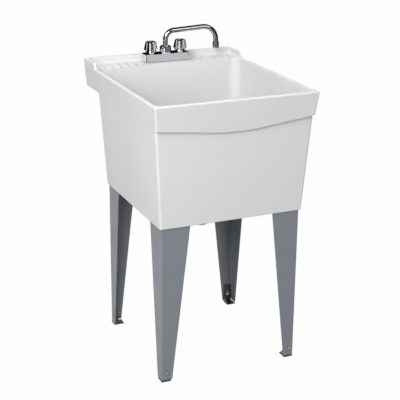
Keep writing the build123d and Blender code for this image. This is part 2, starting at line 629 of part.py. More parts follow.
def faucet_body():
    shell = faucet_box(0, FAUCET_Z, BODY_TOP_Z, FAUCET_CORNER)
    shell = fillet(shell.faces().sort_by(Axis.Z)[-1].edges(), FAUCET_TOP_ROUND)
    hollow_top = BODY_TOP_Z - FAUCET_WALL
    shell -= faucet_box(FAUCET_WALL, FAUCET_Z, hollow_top, FAUCET_CORNER - FAUCET_WALL / 2)
    barrel_floor = BODY_TOP_Z - BARREL_DEPTH
    waterway_z = FAUCET_Z + WATERWAY_RADIUS
    shank_end = FAUCET_Z - SHANK_LENGTH
    waterway = Pos(FAUCET_X, FAUCET_Y, waterway_z) * Rot(0, 90, 0)
    shell += waterway * Cylinder(WATERWAY_RADIUS, FAUCET_CENTRES)
    for x in VALVE_X:
        shell += post(x, FAUCET_Y, FAUCET_Z, hollow_top + PAST, BARREL_BORE + BARREL_WALL)
        shell += post(x, FAUCET_Y, shank_end, FAUCET_Z, SHANK_RADIUS)
        shell += post(x, FAUCET_Y, LOCKNUT_Z - SHANK_SHOULDER_END, FAUCET_Z, SHANK_THREAD_RADIUS)
    shell += post(FAUCET_X, FAUCET_Y, FAUCET_Z, NIPPLE_TOP_Z, NIPPLE_RADIUS)
    for x in VALVE_X:
        shell -= post(x, FAUCET_Y, barrel_floor, BODY_TOP_Z + PAST, BARREL_BORE)
        shell -= post(x, FAUCET_Y, shank_end - PAST, barrel_floor + PAST, SHANK_BORE)
    bore_low = NIPPLE_TOP_Z - NIPPLE_BORE_DEPTH
    shell -= post(FAUCET_X, FAUCET_Y, bore_low, NIPPLE_TOP_Z + PAST, TUBE_RADIUS + SWIVEL_CLEARANCE)
    seat_low = NIPPLE_TOP_Z - ORING_SEAT_DEPTH
    return shell - post(FAUCET_X, FAUCET_Y, seat_low, NIPPLE_TOP_Z + PAST, ORING_SEAT_RADIUS)


def faucet_gasket():
    length = FAUCET_LENGTH - 2 * GASKET_INSET
    outline = RectangleRounded(length, FAUCET_DEPTH - 2 * GASKET_INSET, FAUCET_CORNER)
    sheet = Pos(FAUCET_X, FAUCET_Y, LEDGE_Z) * extrude(outline, amount=GASKET_THICKNESS)
    for x in VALVE_X:
        sheet -= post(x, FAUCET_Y, LEDGE_Z - PAST, FAUCET_Z + PAST, SHANK_HOLE_RADIUS)
    return sheet


def faucet_locknuts():
    top = LOCKNUT_Z + LOCKNUT_THICKNESS
    bore = SHANK_THREAD_RADIUS + THREAD_CLEARANCE
    nuts = []
    for x in VALVE_X:
        nut = hexagon(x, FAUCET_Y, LOCKNUT_Z, top, LOCKNUT_FLATS)
        nuts.append(nut - post(x, FAUCET_Y, LOCKNUT_Z - PAST, top + PAST, bore))
    return Compound(children=nuts)


def cartridge(x):
    """Valve cartridge: barrel, hexagon above the body and a neck round the stem."""
    low = BODY_TOP_Z - BARREL_DEPTH
    part = post(x, FAUCET_Y, low, BODY_TOP_Z, BARREL_BORE - THREAD_CLEARANCE)
    part += hexagon(x, FAUCET_Y, BODY_TOP_Z, HEX_TOP_Z, CARTRIDGE_FLATS)
    bore = STEM_RADIUS + STEM_CLEARANCE
    part += post(x, FAUCET_Y, HEX_TOP_Z, NECK_TOP_Z, bore + CARTRIDGE_NECK_WALL)
    stem_low = NECK_TOP_Z - STEM_BELOW
    part -= post(x, FAUCET_Y, stem_low, NECK_TOP_Z + PAST, bore)
    return part - post(x, FAUCET_Y, low - PAST, stem_low - CARTRIDGE_NECK_WALL, SHANK_BORE)


def stem(x):
    """Valve stem: plain below, serrated where the handle grips it, tapped for the screw."""
    part = post(x, FAUCET_Y, NECK_TOP_Z - STEM_BELOW + SLIDE_GAP, STEM_TOP_Z, STEM_RADIUS)
    for index in range(STEM_SERRATIONS):
        angle = radians(360 / STEM_SERRATIONS * index)
        groove_x = x + STEM_RADIUS * cos(angle)
        groove_y = FAUCET_Y + STEM_RADIUS * sin(angle)
        part -= post(groove_x, groove_y, NECK_TOP_Z + PAST, STEM_TOP_Z + PAST, STEM_SERRATION_DEPTH)
    tapped = SCREW_RADIUS + THREAD_CLEARANCE
    return part - post(x, FAUCET_Y, STEM_TOP_Z - SCREW_LENGTH, STEM_TOP_Z + PAST, tapped)


def handle(x):
    """Lobed handle: a turned knob, widest near its bottom, with leaning flutes cut round it."""
    cavity = CARTRIDGE_FLATS / 2 / cos(radians(30)) + HANDLE_CAVITY_GAP
    knob = turned(
        (
            (0, HANDLE_Z),
            (cavity + HANDLE_NECK_WALL, HANDLE_Z),
            (HANDLE_RADIUS, HANDLE_Z + HANDLE_WIDEST),
            (HANDLE_TOP_RADIUS, HANDLE_TOP_Z - HANDLE_CROWN),
            (HANDLE_TOP_RADIUS - HANDLE_CROWN, HANDLE_TOP_Z),
            (0, HANDLE_TOP_Z),
        ),
        x,
        FAUCET_Y,
    )
    rim = knob.edges().filter_by(GeomType.CIRCLE).group_by(SortBy.RADIUS)[-1]
    knob = fillet(rim, HANDLE_CROWN)
    middle = HANDLE_Z + HANDLE_HEIGHT / 2
    for index in range(HANDLE_LOBES):
        turn = Pos(x, FAUCET_Y, middle) * Rot(0, 0, 360 / HANDLE_LOBES * index)
        offset = HANDLE_RADIUS - HANDLE_FLUTE_BITE + HANDLE_FLUTE_RADIUS
        lean = Pos(offset, 0, 0) * Rot(0, -HANDLE_FLUTE_LEAN, 0)
        knob -= turn * lean * Cylinder(HANDLE_FLUTE_RADIUS, 2 * HANDLE_HEIGHT)
    knob -= post(x, FAUCET_Y, HANDLE_Z - PAST, NECK_TOP_Z + HANDLE_CAVITY_HEADROOM, cavity)
    grip = STEM_RADIUS + THREAD_CLEARANCE
    knob -= post(x, FAUCET_Y, HANDLE_Z, STEM_TOP_Z, grip)
    knob -= post(x, FAUCET_Y, STEM_TOP_Z - PAST, HANDLE_TOP_Z, SCREW_RADIUS + SLIDE_GAP)
    seat = STEM_TOP_Z + SCREW_SEAT
    knob -= post(x, FAUCET_Y, seat, HANDLE_TOP_Z, SCREW_HEAD_RADIUS + SLIDE_GAP)
    recess = CAP_RADIUS + CAP_CLEARANCE
    return knob - post(x, FAUCET_Y, HANDLE_TOP_Z - CAP_RECESS, HANDLE_TOP_Z + PAST, recess)


def handle_screw(x):
    head_low = STEM_TOP_Z + SCREW_SEAT
    head_high = head_low + SCREW_HEAD_HEIGHT
    screw = post(x, FAUCET_Y, head_low, head_high, SCREW_HEAD_RADIUS)
    screw += post(x, FAUCET_Y, STEM_TOP_Z - SCREW_LENGTH + SCREW_SEAT, head_low, SCREW_RADIUS)
    half = SCREW_SLOT / 2
    reach = SCREW_HEAD_RADIUS + PAST
    slot = block(-reach, reach, -half, half, -SCREW_SLOT, PAST)
    return screw - Pos(x, FAUCET_Y, head_high) * slot


def index_cap(x):
    """Domed snap cap in the top of a handle."""
    low = HANDLE_TOP_Z - CAP_RECESS
    cap = post(x, FAUCET_Y, low, low + CAP_THICKNESS, CAP_RADIUS)
    return fillet(cap.faces().sort_by(Axis.Z)[-1].edges(), CAP_THICKNESS / 2)


# ---------------------------------------------------------------- spout
def spout_tube():
    """Tube bent in one plane: up, across with a slight rise, and down."""
    path = FilletPolyline(
        (FAUCET_X, FAUCET_Y, TUBE_LOW_Z),
        (FAUCET_X, FAUCET_Y, SPOUT_RUN_Z),
        (OUTLET_X, FAUCET_Y, RUN_END_Z),
        (OUTLET_X, FAUCET_Y, TUBE_END_Z),
        radius=(SPOUT_REAR_BEND, SPOUT_FRONT_BEND),
    )
    start = Plane(path @ 0, z_dir=path % 0)
    wall = start * (Circle(TUBE_RADIUS) - Circle(TUBE_RADIUS - TUBE_WALL))
    return sweep(wall, path=path)


def spout_collar():
    high = COLLAR_Z + COLLAR_THICKNESS
    return ring(FAUCET_X, FAUCET_Y, COLLAR_Z, high, TUBE_RADIUS + COLLAR_WIDTH, TUBE_RADIUS)


def spout_oring():
    """O-ring on the tube, in the seat at the top of the nipple."""
    middle = Pos(FAUCET_X, FAUCET_Y, NIPPLE_TOP_Z - ORING_SEAT_DEPTH / 2)
    return middle * Torus(TUBE_RADIUS + ORING_RADIUS, ORING_RADIUS)


def spout_nut():
    """Coupling nut: screwed on the nipple, its shoulder over the collar."""
    low = BODY_TOP_Z
    high = SPOUT_NUT_INSIDE_Z + SPOUT_NUT_SHOULDER
    half_flats = NIPPLE_RADIUS + THREAD_CLEARANCE + SPOUT_NUT_WALL
    nut = hexagon(FAUCET_X, FAUCET_Y, low, high, 2 * half_flats)
    corner = half_flats / cos(radians(30))
    envelope = turned(
        (
            (0, low),
            (corner - SPOUT_NUT_CHAMFER / 3, low),
            (corner, low + SPOUT_NUT_CHAMFER / 3),
            (corner, high - SPOUT_NUT_CHAMFER),
            (corner - SPOUT_NUT_CHAMFER, high),
            (0, high),
        ),
        FAUCET_X,
        FAUCET_Y,
    )
    nut &= envelope
    bore = NIPPLE_RADIUS + THREAD_CLEARANCE
    nut -= post(FAUCET_X, FAUCET_Y, low - PAST, SPOUT_NUT_INSIDE_Z, bore)
    return nut - post(FAUCET_X, FAUCET_Y, low, high + PAST, TUBE_RADIUS + COLLAR_GAP)


def aerator_shell():
    """Outlet shell with a knurled grip, closed in at its mouth."""
    shell = post(OUTLET_X, FAUCET_Y, AERATOR_LOW_Z, AERATOR_TOP_Z, AERATOR_RADIUS)
    shell = chamfer(shell.edges().filter_by(GeomType.CIRCLE), PAST)
    inside = AERATOR_LOW_Z + AERATOR_LIP
    mouth = AERATOR_CHAMBER - AERATOR_LIP
    shell -= post(OUTLET_X, FAUCET_Y, inside, TUBE_END_Z, AERATOR_CHAMBER)
    shell -= post(OUTLET_X, FAUCET_Y, AERATOR_LOW_Z - PAST, inside + PAST, mouth)
    shell -= post(OUTLET_X, FAUCET_Y, inside, AERATOR_TOP_Z + PAST, TUBE_RADIUS + THREAD_CLEARANCE)
    knurl_low = AERATOR_LOW_Z + 2 * AERATOR_LIP
    for index in range(AERATOR_KNURLS):
        angle = radians(360 / AERATOR_KNURLS * index)
        x = OUTLET_X + AERATOR_RADIUS * cos(angle)
        y = FAUCET_Y + AERATOR_RADIUS * sin(angle)
        shell -= post(x, y, knurl_low, knurl_low + AERATOR_KNURL_HEIGHT, AERATOR_KNURL_DEPTH)
    return shell


def aerator_washer():
    outer = AERATOR_CHAMBER - SLIDE_GAP
    low = TUBE_END_Z - AERATOR_WASHER
    return ring(OUTLET_X, FAUCET_Y, low, TUBE_END_Z, outer, TUBE_RADIUS - TUBE_WALL)


def aerator_screen():
    """Perforated insert under the washer."""
    outer = AERATOR_CHAMBER - SLIDE_GAP
    high = TUBE_END_Z - AERATOR_WASHER
    low = AERATOR_LOW_Z + AERATOR_LIP
    insert = post(OUTLET_X, FAUCET_Y, low, high, outer)
    insert -= post(OUTLET_X, FAUCET_Y, low + AERATOR_LIP, high + PAST, outer - AERATOR_LIP)
    spacing = AERATOR_CHAMBER * AERATOR_HOLE_SPACING
    for column in (-1, 0, 1):
        for row in (-1, 0, 1):
            x = OUTLET_X + column * spacing
            y = FAUCET_Y + row * spacing
            insert -= post(x, y, low - PAST, high + PAST, spacing / 4)
    return insert


# ---------------------------------------------------------------- drain
def drain_flange():
    """Flanged drain body with a tapered seat and crossed bars."""
    body = turned(
        (
            (DRAIN_SEAT_TOP_RADIUS, DRAIN_TOP_Z),
            (DRAIN_FLANGE_RADIUS, DRAIN_TOP_Z),
            (DRAIN_FLANGE_RADIUS, DRAIN_SEAT_Z),
            (DRAIN_TUBE_RADIUS, DRAIN_SEAT_Z),
            (DRAIN_TUBE_RADIUS, DRAIN_END_Z),
            (DRAIN_BORE, DRAIN_END_Z),
            (DRAIN_BORE, DRAIN_TOP_Z - DRAIN_SEAT_DEPTH),
        ),
        0,
        DRAIN_Y,
    )
    half = DRAIN_BAR_WIDTH / 2
    reach = DRAIN_BORE + PAST
    high = DRAIN_TOP_Z - DRAIN_BAR_DEPTH
    low = high - DRAIN_BAR_HEIGHT
    body += block(-reach, reach, DRAIN_Y - half, DRAIN_Y + half, low, high)
    return body + block(-half, half, DRAIN_Y - reach, DRAIN_Y + reach, low, high)


def drain_gasket():
    bore = DRAIN_TUBE_RADIUS + THREAD_CLEARANCE
    return ring(0, DRAIN_Y, DRAIN_LOCKNUT_TOP_Z, DRAIN_BOSS_Z, DRAIN_FLANGE_RADIUS, bore)


def drain_locknut():
    nut = hexagon(0, DRAIN_Y, DRAIN_LOCKNUT_Z, DRAIN_LOCKNUT_TOP_Z, DRAIN_LOCKNUT_FLATS)
    bore = DRAIN_TUBE_RADIUS + THREAD_CLEARANCE
    return nut - post(0, DRAIN_Y, DRAIN_LOCKNUT_Z - PAST, DRAIN_LOCKNUT_TOP_Z + PAST, bore)


def tailpiece():
    """Outlet tube with a flange at its top and a thicker collar under it."""
    collar_end = TAILPIECE_NUT_Z - TAILPIECE_COLLAR_END
    end = TAILPIECE_TOP_Z - TAILPIECE_LENGTH
    bore = TAILPIECE_RADIUS - TAILPIECE_WALL
    return turned(
        (
            (bore, TAILPIECE_TOP_Z),
            (TAILPIECE_FLANGE_RADIUS, TAILPIECE_TOP_Z),
            (TAILPIECE_FLANGE_RADIUS, TAILPIECE_FLANGE_Z),
            (TAILPIECE_COLLAR_RADIUS, TAILPIECE_FLANGE_Z),
            (TAILPIECE_COLLAR_RADIUS, collar_end),
            (TAILPIECE_RADIUS, collar_end - TAILPIECE_COLLAR),
            (TAILPIECE_RADIUS, end),
            (bore, end),
        ),
        0,
        DRAIN_Y,
    )


def tailpiece_washer():
    inner = TAILPIECE_RADIUS - TAILPIECE_WALL
    return ring(0, DRAIN_Y, TAILPIECE_TOP_Z, DRAIN_END_Z, TAILPIECE_FLANGE_RADIUS, inner)


def tailpiece_nut():
    """Slip nut with finger lugs: screwed on the drain body, its shoulder under the flange."""
    high = DRAIN_LOCKNUT_Z - TAILPIECE_NUT_GAP
    bore = DRAIN_TUBE_RADIUS + THREAD_CLEARANCE
    outer = bore + TAILPIECE_NUT_WALL
    nut = post(0, DRAIN_Y, TAILPIECE_NUT_Z, high, outer)
    half = TAILPIECE_NUT_LUG / 2
    reach = outer + TAILPIECE_NUT_LUG
    for index in range(TAILPIECE_NUT_LUGS):
        lug = block(0, reach, -half, half, TAILPIECE_NUT_Z, high)
        nut += Pos(0, DRAIN_Y, 0) * Rot(0, 0, 360 / TAILPIECE_NUT_LUGS * index) * lug
    hole = TAILPIECE_COLLAR_RADIUS + TAILPIECE_CLEARANCE
    nut -= post(0, DRAIN_Y, TAILPIECE_NUT_Z - PAST, high, hole)
    return nut - post(0, DRAIN_Y, TAILPIECE_FLANGE_Z, high + PAST, bore)


def drain_stopper():
    """Tapered rubber plug with a rim over the flange and a waisted finger grip."""
    slope = (DRAIN_SEAT_TOP_RADIUS - DRAIN_BORE) / DRAIN_SEAT_DEPTH
    seat_top = DRAIN_SEAT_TOP_RADIUS - STOPPER_CLEARANCE * 2
    bottom = seat_top - slope * DRAIN_SEAT_DEPTH
    rim_low = DRAIN_TOP_Z + STOPPER_CLEARANCE
    rim_high = rim_low + STOPPER_RIM_THICKNESS
    grip_top = rim_high + STOPPER_GRIP_HEIGHT
    return turned(
        (
            (0, DRAIN_TOP_Z - DRAIN_SEAT_DEPTH),
            (bottom, DRAIN_TOP_Z - DRAIN_SEAT_DEPTH),
            (seat_top, DRAIN_TOP_Z),
            (seat_top, rim_low),
            (STOPPER_RIM_RADIUS, rim_low),
            (STOPPER_RIM_RADIUS - STOPPER_RIM_THICKNESS / 2, rim_high),
            (STOPPER_GRIP_WAIST, rim_high),
            (STOPPER_GRIP_WAIST, rim_high + STOPPER_GRIP_HEIGHT / 3),
            (STOPPER_GRIP_RADIUS, rim_high + STOPPER_GRIP_HEIGHT / 2),
            (STOPPER_GRIP_RADIUS, grip_top - STOPPER_GRIP_HEIGHT / 6),
            (STOPPER_GRIP_WAIST, grip_top),
            (0, grip_top),
        ),
        0,
        DRAIN_Y,
    )


# ---------------------------------------------------------------- all sub-parts
def build_parts():
    """Every sub-part by name."""
    parts = {"tub_basin": tub_basin()}
    for corner in CORNERS:
        parts["leg_" + corner] = at_corner(leg(), corner)
        parts["foot_" + corner] = at_corner(foot(), corner)
    parts["foot_bolts"] = Compound(children=[at_corner(foot_bolt(), corner) for corner in CORNERS])
    parts["foot_nuts"] = Compound(children=[at_corner(foot_nut(), corner) for corner in CORNERS])
    parts["faucet_body"] = faucet_body()
    parts["faucet_gasket"] = faucet_gasket()
    parts["faucet_locknuts"] = faucet_locknuts()
    for name, x in zip(("hot", "cold"), VALVE_X):
        parts[name + "_cartridge"] = cartridge(x)
        parts[name + "_stem"] = stem(x)
        parts[name + "_handle"] = handle(x)
        parts[name + "_handle_screw"] = handle_screw(x)
        parts[name + "_index_cap"] = index_cap(x)
    parts["spout_nut"] = spout_nut()
    parts["spout_tube"] = spout_tube()
    parts["spout_collar"] = spout_collar()
    parts["spout_oring"] = spout_oring()
    parts["aerator_shell"] = aerator_shell()
    parts["aerator_washer"] = aerator_washer()
    parts["aerator_screen"] = aerator_screen()
    parts["drain_flange"] = drain_flange()
    parts["drain_gasket"] = drain_gasket()
    parts["drain_locknut"] = drain_locknut()
    parts["tailpiece"] = tailpiece()
    parts["tailpiece_washer"] = tailpiece_washer()
    parts["tailpiece_nut"] = tailpiece_nut()
    parts["drain_stopper"] = drain_stopper()
    return parts


os.makedirs("parts", exist_ok=True)
for node, shape in build_parts().items():
    export_step(shape, "parts/" + node + ".step")
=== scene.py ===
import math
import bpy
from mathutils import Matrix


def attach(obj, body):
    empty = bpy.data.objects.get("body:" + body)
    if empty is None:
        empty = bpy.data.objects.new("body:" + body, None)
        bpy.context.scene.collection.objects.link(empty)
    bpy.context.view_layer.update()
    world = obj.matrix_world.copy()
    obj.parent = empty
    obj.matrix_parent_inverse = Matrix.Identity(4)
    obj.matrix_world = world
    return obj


bl_info = {
    "name": "Utility Laundry Sink",
    "version": (1, 0, 0),
    "blender": (4, 5, 0),
    "location": "View3D > Sidebar > Laundry Sink",
    "description": "Finishes the packed model of a utility laundry sink and lights it",
    "category": "Object",
}

import bmesh
import bpy
from bpy.props import FloatProperty, FloatVectorProperty, IntProperty, PointerProperty
from mathutils import Euler, Matrix, Vector

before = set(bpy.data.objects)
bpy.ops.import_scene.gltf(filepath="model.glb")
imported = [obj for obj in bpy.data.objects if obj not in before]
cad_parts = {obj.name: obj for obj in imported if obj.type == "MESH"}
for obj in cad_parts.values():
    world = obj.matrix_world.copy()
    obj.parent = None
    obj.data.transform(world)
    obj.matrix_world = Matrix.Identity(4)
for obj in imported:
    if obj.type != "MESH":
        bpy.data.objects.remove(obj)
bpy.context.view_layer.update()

MM = 0.001

# the two shanks under the faucet, as the CAD model has them, in metres
SHANK_X = (-0.0428, 0.0588)
SHANK_Y = 0.264
SHANK_THREAD_BOTTOM = 0.8005
THREAD_STEPS = 32  # flats to one turn of thread

# range that a noise texture mostly stays in
NOISE_LOW = 0.3
NOISE_HIGH = 0.7

# the stage, in metres
LAMP_TARGET = (0.0, 0.0, 0.6)
LAMP_SIDE = 2.0
FLOOR_SIDE = 80.0
FLOOR_DROP = 0.5 * MM  # the floor paper lies this far under the feet
PAPER_GLOW = 0.985  # share of the paper's look that is plain white, without shadows
STRIP_DISTANCE = 3.5  # from the upright axis to the strips that the chrome mirrors
CAMERA_FAR_END = 200.0
SENSOR_WIDTH = 36.0  # millimetres
QUARTER_TURN = math.radians(90)


# ---------------------------------------------------------------- colours and nodes
def paint(code, alpha=1.0):
    """Linear colour of an sRGB hex value."""
    channels = []
    for start in (1, 3, 5):
        value = int(code[start : start + 2], 16) / 255
        channels.append(value / 12.92 if value <= 0.04045 else ((value + 0.055) / 1.055) ** 2.4)
    return (*channels, alpha)


def shade(colour, factor):
    """The colour made darker by a factor."""
    return [channel * factor for channel in colour[:3]] + [1.0]


def add_node(tree, kind, inputs=None, **settings):
    """Adds a node to the tree. Inputs hold values, or sockets to link."""
    node = tree.nodes.new(kind)
    for name, value in settings.items():
        setattr(node, name, value)
    for name, value in (inputs or {}).items():
        if isinstance(value, bpy.types.NodeSocket):
            tree.links.new(value, node.inputs[name])
        else:
            node.inputs[name].default_value = value
    return node


def per_metre(size_mm):
    """Texture scale whose pattern repeats about every size_mm."""
    return 1000 / size_mm


def empty_material(name):
    """A material and its node tree, with no nodes in it."""
    material = bpy.data.materials.new(name)
    material.use_nodes = True
    material.node_tree.nodes.clear()
    return material, material.node_tree


def new_material(name, colour, roughness, metallic=0.0, ior=None):
    """A material with its shader's plain values set, its node tree, shader and place in space."""
    material, tree = empty_material(name)
    shader = add_node(
        tree, "ShaderNodeBsdfPrincipled", {"Base Color": colour, "Roughness": roughness}
    )
    shader.inputs["Metallic"].default_value = metallic
    if ior:
        shader.inputs["IOR"].default_value = ior
    add_node(tree, "ShaderNodeOutputMaterial", {"Surface": shader.outputs["BSDF"]})
    place = add_node(tree, "ShaderNodeTexCoord").outputs["Object"]
    return material, tree, shader, place


def vary(tree, place, shader, size_mm, colours, roughness):
    """Cloudy change of colour and roughness, with clouds about size_mm across."""
    cloud = add_node(
        tree, "ShaderNodeTexNoise", {"Vector": place, "Scale": per_metre(size_mm), "Detail": 3.0}
    ).outputs["Fac"]
    # a colour mix takes its colours at sockets 6 and 7, and gives the result at 2
    mix = add_node(
        tree, "ShaderNodeMix", {0: cloud, 6: colours[0], 7: colours[1]}, data_type="RGBA"
    )
    tree.links.new(mix.outputs[2], shader.inputs["Base Color"])
    gloss = add_node(
        tree,
        "ShaderNodeMapRange",
        {
            "Value": cloud,
            "From Min": NOISE_LOW,
            "From Max": NOISE_HIGH,
            "To Min": roughness[0],
            "To Max": roughness[1],
        },
    )
    tree.links.new(gloss.outputs["Result"], shader.inputs["Roughness"])


def relief(tree, place, shader, layers):
    """Bump built up from (grain in mm, depth in mm, detail) layers."""
    normal = None
    for size_mm, depth_mm, detail in layers:
        grain = add_node(
            tree,
            "ShaderNodeTexNoise",
            {"Vector": place, "Scale": per_metre(size_mm), "Detail": detail},
        )
        bump = add_node(
            tree,
            "ShaderNodeBump",
            {"Height": grain.outputs["Fac"], "Distance": depth_mm * MM, "Strength": 1.0},
        )
        if normal:
            tree.links.new(normal, bump.inputs["Normal"])
        normal = bump.outputs["Normal"]
    tree.links.new(normal, shader.inputs["Normal"])


# ---------------------------------------------------------------- finishes
def moulded_tub_plastic(colour):
    """Glass-filled white plastic, moulded under pressure: semi-gloss, with slow waves."""
    material, tree, shader, place = new_material(
        "moulded_tub_plastic", colour, roughness=0.46, ior=1.49
    )
    colours = (colour, shade(colour, 0.97))
    vary(tree, place, shader, size_mm=140, colours=colours, roughness=(0.42, 0.5))
    # mould texture under half a millimetre, drawn as coarse as the picture can hold
    relief(tree, place, shader, ((1.6, 0.012, 2.0), (70, 0.16, 1.0)))
    return material


def baked_enamel(name, colour):
    """Grey stoving enamel over sheet steel: satin, with a faint orange-peel."""
    material, tree, shader, place = new_material(name, colour, roughness=0.42, ior=1.5)
    colours = (colour, shade(colour, 0.93))
    vary(tree, place, shader, size_mm=60, colours=colours, roughness=(0.36, 0.48))
    relief(tree, place, shader, ((2.2, 0.015, 2.0), (30, 0.05, 1.0)))
    return material


def polished_chrome(name, colour):
    """Bright nickel-chrome plate on polished brass, with the faint haze of handling."""
    material, tree, shader, place = new_material(name, colour, roughness=0.04, metallic=1.0)
    colours = (colour, shade(colour, 0.96))
    vary(tree, place, shader, size_mm=18, colours=colours, roughness=(0.025, 0.06))
    return material


def bright_zinc(colour):
    """Clear-passivated zinc plate: bluish, with soft blotches."""
    material, tree, shader, place = new_material(
        "bright_zinc", colour, roughness=0.3, metallic=1.0
    )
    colours = (colour, shade(colour, 0.8))
    vary(tree, place, shader, size_mm=4, colours=colours, roughness=(0.24, 0.4))
    relief(tree, place, shader, ((0.8, 0.006, 2.0),))
    return material


def turned_brass(colour):
    """Bare brass off the lathe: fine turning marks round the upright axis."""
    material, tree, shader, place = new_material(
        "turned_brass", colour, roughness=0.32, metallic=1.0
    )
    colours = (colour, shade(colour, 0.82))
    vary(tree, place, shader, size_mm=6, colours=colours, roughness=(0.26, 0.42))
    marks = add_node(
        tree,
        "ShaderNodeTexWave",
        {"Vector": place, "Scale": per_metre(4), "Distortion": 0.4},
        bands_direction="Z",
    )
    bump = add_node(
        tree, "ShaderNodeBump", {"Height": marks.outputs["Fac"], "Distance": 0.01 * MM}
    )
    tree.links.new(bump.outputs["Normal"], shader.inputs["Normal"])
    return material


def moulded_rubber(colour):
    """Black moulded rubber: matt, with a little bloom."""
    material, tree, shader, place = new_material(
        "moulded_rubber", colour, roughness=0.75, ior=1.52
    )
    bloom = [min(1.0, channel * 1.6 + 0.004) for channel in colour[:3]] + [1.0]
    vary(tree, place, shader, size_mm=9, colours=(colour, bloom), roughness=(0.66, 0.84))
    relief(tree, place, shader, ((0.9, 0.01, 2.0),))
    return material


def moulded_polypropylene(colour):
    """White injection-moulded polypropylene: waxy, slightly translucent at thin edges."""
    material, tree, shader, place = new_material(
        "moulded_polypropylene", colour, roughness=0.46, ior=1.49
    )
    shader.inputs["Subsurface Weight"].default_value = 0.06
    shader.inputs["Subsurface Scale"].default_value = 2 * MM
    colours = (colour, shade(colour, 0.95))
    vary(tree, place, shader, size_mm=25, colours=colours, roughness=(0.4, 0.52))
    relief(tree, place, shader, ((1.2, 0.01, 2.0),))
    return material


# ---------------------------------------------------------------- helpers for pieces
def finish(node, material):
    """Gives a CAD node its finish."""
    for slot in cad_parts[node].material_slots:
        slot.material = material


def thread(mesh, x, y, bottom, turns, pitch, root, crest):
    """Adds a screw thread to the bmesh, round an upright axis at x and y, from its bottom up."""
    section = (Vector((x + root, y, bottom)), Vector((x + crest, y, bottom + pitch / 2)))
    corners = [mesh.verts.new(point) for point in (*section, section[0] + Vector((0, 0, pitch)))]
    rib = bmesh.ops.contextual_create(mesh, geom=corners)["faces"]
    bmesh.ops.spin(
        mesh,
        geom=[*corners, *rib[0].edges, *rib],
        cent=(x, y, 0.0),
        axis=(0.0, 0.0, 1.0),
        dvec=(0.0, 0.0, pitch / THREAD_STEPS),
        angle=2 * math.pi * turns,
        steps=turns * THREAD_STEPS,
    )


def settle(mesh, name, material, body):
    """Makes an object of the bmesh and lets it ride on its body."""
    bmesh.ops.recalc_face_normals(mesh, faces=mesh.faces)
    data = bpy.data.meshes.new(name)
    mesh.to_mesh(data)
    mesh.free()
    data.materials.append(material)
    piece = bpy.data.objects.new(name, data)
    bpy.context.scene.collection.objects.link(piece)
    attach(piece, body)


# ---------------------------------------------------------------- sizes and colours
class TubLook(bpy.types.PropertyGroup):
    colour: FloatVectorProperty(
        name="Tub colour",
        description="Colour of the moulded tub",
        subtype="COLOR",
        size=4,
        min=0.0,
        max=1.0,
        default=paint("#DADADA"),
    )


class LegLook(bpy.types.PropertyGroup):
    enamel: FloatVectorProperty(
        name="Enamel",
        description="Colour of the legs",
        subtype="COLOR",
        size=4,
        min=0.0,
        max=1.0,
        default=paint("#7B8086"),
    )
    foot_enamel: FloatVectorProperty(
        name="Foot enamel",
        description="Colour of the levelling feet",
        subtype="COLOR",
        size=4,
        min=0.0,
        max=1.0,
        default=paint("#2F3236"),
    )
    zinc: FloatVectorProperty(
        name="Zinc",
        description="Colour of the bolts, nuts and screws",
        subtype="COLOR",
        size=4,
        min=0.0,
        max=1.0,
        default=paint("#9DA0A5"),
    )


class FaucetLook(bpy.types.PropertyGroup):
    chrome: FloatVectorProperty(
        name="Chrome",
        description="Colour of the plated pieces",
        subtype="COLOR",
        size=4,
        min=0.0,
        max=1.0,
        default=paint("#E8E9EC"),
    )
    thread_pitch: FloatProperty(
        name="Thread pitch",
        description="Pitch of the threads on the shanks, 14 turns to the inch",
        subtype="DISTANCE",
        unit="LENGTH",
        default=0.001814,
    )
    thread_turns: IntProperty(
        name="Thread turns",
        description="Turns of thread on each shank, up to the shoulder below the locknut",
        default=17,
    )
    thread_root: FloatProperty(
        name="Thread root",
        description="Radius at the bottom of the thread, just inside the shank",
        subtype="DISTANCE",
        unit="LENGTH",
        default=0.01036,
    )
    thread_crest: FloatProperty(
        name="Thread crest",
        description="Radius at the top of the thread",
        subtype="DISTANCE",
        unit="LENGTH",
        default=0.01115,
    )
    brass: FloatVectorProperty(
        name="Brass",
        description="Colour of the bare brass inside the faucet",
        subtype="COLOR",
        size=4,
        min=0.0,
        max=1.0,
        default=paint("#C9A765"),
    )


class DrainLook(bpy.types.PropertyGroup):
    plastic: FloatVectorProperty(
        name="Drain plastic",
        description="Colour of the drain fittings",
        subtype="COLOR",
        size=4,
        min=0.0,
        max=1.0,
        default=paint("#DAD9D4"),
    )
    rubber: FloatVectorProperty(
        name="Rubber",
        description="Colour of the stopper and the seals",
        subtype="COLOR",
        size=4,
        min=0.0,
        max=1.0,
        default=paint("#1D1D1E"),
    )


